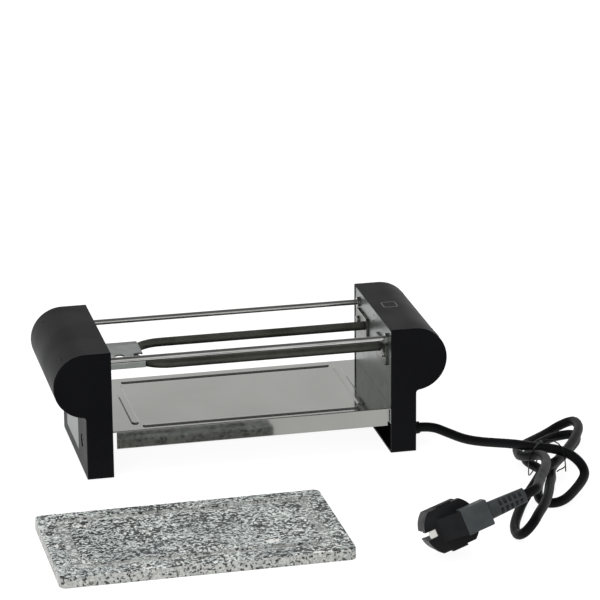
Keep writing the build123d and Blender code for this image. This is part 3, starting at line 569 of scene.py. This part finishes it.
graniteLook = {"driftScale": 90, "drift": 0.008,
               "grainScale": 640, "grainStretch": (0.80, 1.0, 1.0), "grainRange": (0.38, 0.60),
               "stops": [(0.0, (0.09, 0.10, 0.105)), (0.30, (0.31, 0.335, 0.33)),
                         (0.60, (0.60, 0.64, 0.62)), (1.0, (0.90, 0.93, 0.90))],
               "cloudScale": 30, "cloudStretch": (0.6, 1.0, 1.0), "cloudRange": (0.44, 0.64),
               "cloudAmount": 0.36, "cloudColour": (0.17, 0.205, 0.213),
               "patchScale": 66, "patchStretch": (0.55, 1.0, 1.0), "patchRange": (0.69, 0.71),
               "patchColour": (0.84, 0.84, 0.81),
               "fleckScale": 460, "fleckStretch": (0.80, 1.0, 1.0), "fleckFrom": 0.688,
               "fleckStep": 0.015, "fleckAmount": 0.92, "mica": (0.005, 0.006, 0.007),
               "bandScale": 110, "bandStretch": (0.35, 1.0, 1.0), "bandAmount": 0.35,
               "sawn": (0.66, 0.665, 0.63), "sawnRange": (0.55, 0.25), "sawnAmount": 0.72,
               "dot": (0.02, 0.02, 0.02), "dotScale": 720, "dotRange": (0.74, 0.77),
               "grooveLevel": 0.0067, "grooveFade": 0.0003, "levelRange": (0.8, 0.95),
               "dust": (0.66, 0.67, 0.66), "dusty": 0.30,
               "fine": 900, "fineCloud": 360, "edge": 0.0008, "rough": (0.30, 0.45),
               "relief": 0.00002}

casingPlastic = mouldedMaterial("casingPlastic", casingLook)
rightCasingPlastic = mouldedMaterial("rightCasingPlastic", rightCasingLook)
switchPlastic = mouldedMaterial("switchPlastic", switchLook)
cordRubber = mouldedMaterial("cordRubber", cordLook)
plugRubber = mouldedMaterial("plugRubber", plugLook)
hoodRubber = mouldedMaterial("hoodRubber", hoodLook)
reliefRubber = mouldedMaterial("reliefRubber", reliefLook)
padRubber = mouldedMaterial("padRubber", padLook)
wireCoat = mouldedMaterial("wireCoat", wireLook)
blockNylon = mouldedMaterial("blockNylon", nylonLook)
sealCeramic = mouldedMaterial("sealCeramic", sealLook)
traySteel = rolledMaterial("traySteel", trayLook)
rodSteel = rolledMaterial("rodSteel", rodLook)
screwZinc = rolledMaterial("screwZinc", screwLook)
foilPlate = rolledMaterial("foilPlate", foilLook)
pinNickel = rolledMaterial("pinNickel", pinLook)
contactBrass = rolledMaterial("contactBrass", brassLook)
heaterSheath = rolledMaterial("heaterSheath", heaterLook)
zincSheet = galvanisedMaterial("zincSheet", bracketLook)
sideZinc = galvanisedMaterial("sideZinc", sideZincLook)
shadedFlangeZinc = galvanisedMaterial("shadedFlangeZinc", shadedFlangeLook)
sunkScrew = rolledMaterial("sunkScrew", sunkScrewLook)
greyGranite = graniteMaterial("greyGranite", graniteLook)

wears = {
    casingPlastic: ("left_casing", "cord_clamp"),
    rightCasingPlastic: ("right_casing",),
    sideZinc: ("left_side_plate", "right_side_plate"),
    shadedFlangeZinc: ("element_flange_front", "element_flange_back"),
    zincSheet: ("element_bracket",),
    sunkScrew: ("casing_screws",),
    rodSteel: ("front_rod", "back_rod"),
    screwZinc: ("rod_nuts", "flange_screws", "bracket_screws", "tray_screws",
                "clinch_nuts"),
    heaterSheath: ("heating_element",),
    sealCeramic: ("element_seals",),
    contactBrass: ("element_tabs", "switch_blades", "cutout_tabs"),
    traySteel: ("pan_tray",),
    padRubber: ("foot_pads",),
    foilPlate: ("rating_plate",),
    switchPlastic: ("switch_housing", "switch_rocker", "thermal_cutout"),
    blockNylon: ("terminal_block",),
    wireCoat: ("hookup_wires", "cord_tie"),
    cordRubber: ("cord_gland",),
    plugRubber: ("plug_body",),
    hoodRubber: ("plug_hood",),
    reliefRubber: ("plug_relief",),
    pinNickel: ("plug_pins", "plug_earth_clips"),
    greyGranite: ("stone_plate",),
}
for material, names in wears.items():
    for name in names:
        for slot in nodes[name].material_slots:
            slot.material = material
cordLine.data.materials.append(cordRubber)
print("materials placed")

# pale floor: white to the camera, with the object's soft shadow kept
floorLook = {"size": 8.0, "down": 0.0003, "plain": 0.75, "caught": 0.25, "glow": 0.92}
floorMesh = bpy.data.meshes.new("floor")
half = floorLook["size"] / 2
floorMesh.from_pydata([(-half, -half, 0), (half, -half, 0), (half, half, 0), (-half, half, 0)],
                      [], [(0, 1, 2, 3)])
floor = bpy.data.objects.new("floor", floorMesh)
floor.location = (0, 0, -floorLook["down"])
bpy.context.scene.collection.objects.link(floor)


def seenRays(tree):
    path = addNode(tree, "LightPath")
    seen = mathNode(tree, "MAXIMUM", path.outputs["Is Camera Ray"],
                    path.outputs["Is Glossy Ray"])
    return mathNode(tree, "MAXIMUM", seen, path.outputs["Is Transmission Ray"])


floorMaterial, floorTree, floorShader = newMaterial("paleFloor")
floorTree.nodes.remove(floorShader)
plain = addNode(floorTree, "BsdfDiffuse")
plain.inputs["Color"].default_value = (floorLook["plain"],) * 3 + (1,)
caught = addNode(floorTree, "BsdfDiffuse")
caught.inputs["Color"].default_value = (floorLook["caught"],) * 3 + (1,)
glow = addNode(floorTree, "Emission")
glow.inputs["Strength"].default_value = floorLook["glow"]
both = addNode(floorTree, "AddShader")
pick = addNode(floorTree, "MixShader")
link(floorTree, caught.outputs[0], both.inputs[0])
link(floorTree, glow.outputs[0], both.inputs[1])
link(floorTree, seenRays(floorTree), pick.inputs[0])
link(floorTree, plain.outputs[0], pick.inputs[1])
link(floorTree, both.outputs[0], pick.inputs[2])
link(floorTree, pick.outputs[0], floorTree.nodes["Material Output"].inputs["Surface"])
floorMesh.materials.append(floorMaterial)

# soft white surround with a darker ceiling, as the polished parts mirror it
surroundLook = {"plain": 0.45, "horizon": 1.0, "ceiling": 0.17, "from": 0.32, "to": 0.62}
world = bpy.data.worlds.new("studio")
bpy.context.scene.world = world
world.use_nodes = True
worldTree = world.node_tree
surround = worldTree.nodes["Background"]
surround.inputs["Color"].default_value = (1, 1, 1, 1)
towards = addNode(worldTree, "TexCoord")
rise = addNode(worldTree, "SeparateXYZ")
link(worldTree, towards.outputs["Generated"], rise.inputs[0])
mirrored = remap(worldTree, rise.outputs["Z"], surroundLook["from"], surroundLook["to"],
                 surroundLook["horizon"], surroundLook["ceiling"])
link(worldTree, remap(worldTree, seenRays(worldTree), 0, 1, surroundLook["plain"], mirrored),
     surround.inputs["Strength"])

lamps = {
    "topLamp": {"place": (-0.3, -0.3, 1.5), "aim": (0.02, -0.08, 0.0), "size": 1.1, "power": 12},
    "frontLamp": {"place": (-1.1, -1.5, 0.9), "aim": (0.0, -0.1, 0.05), "size": 0.8, "power": 7},
}
for name, lamp in lamps.items():
    lampData = bpy.data.lights.new(name, "AREA")
    lampData.size = lamp["size"]
    lampData.energy = lamp["power"]
    lampObject = bpy.data.objects.new(name, lampData)
    lampObject.location = lamp["place"]
    lampObject.visible_glossy = False
    aim = Vector(lamp["aim"]) - Vector(lamp["place"])
    lampObject.rotation_euler = aim.to_track_quat("-Z", "Y").to_euler()
    bpy.context.scene.collection.objects.link(lampObject)
print("stage lit")
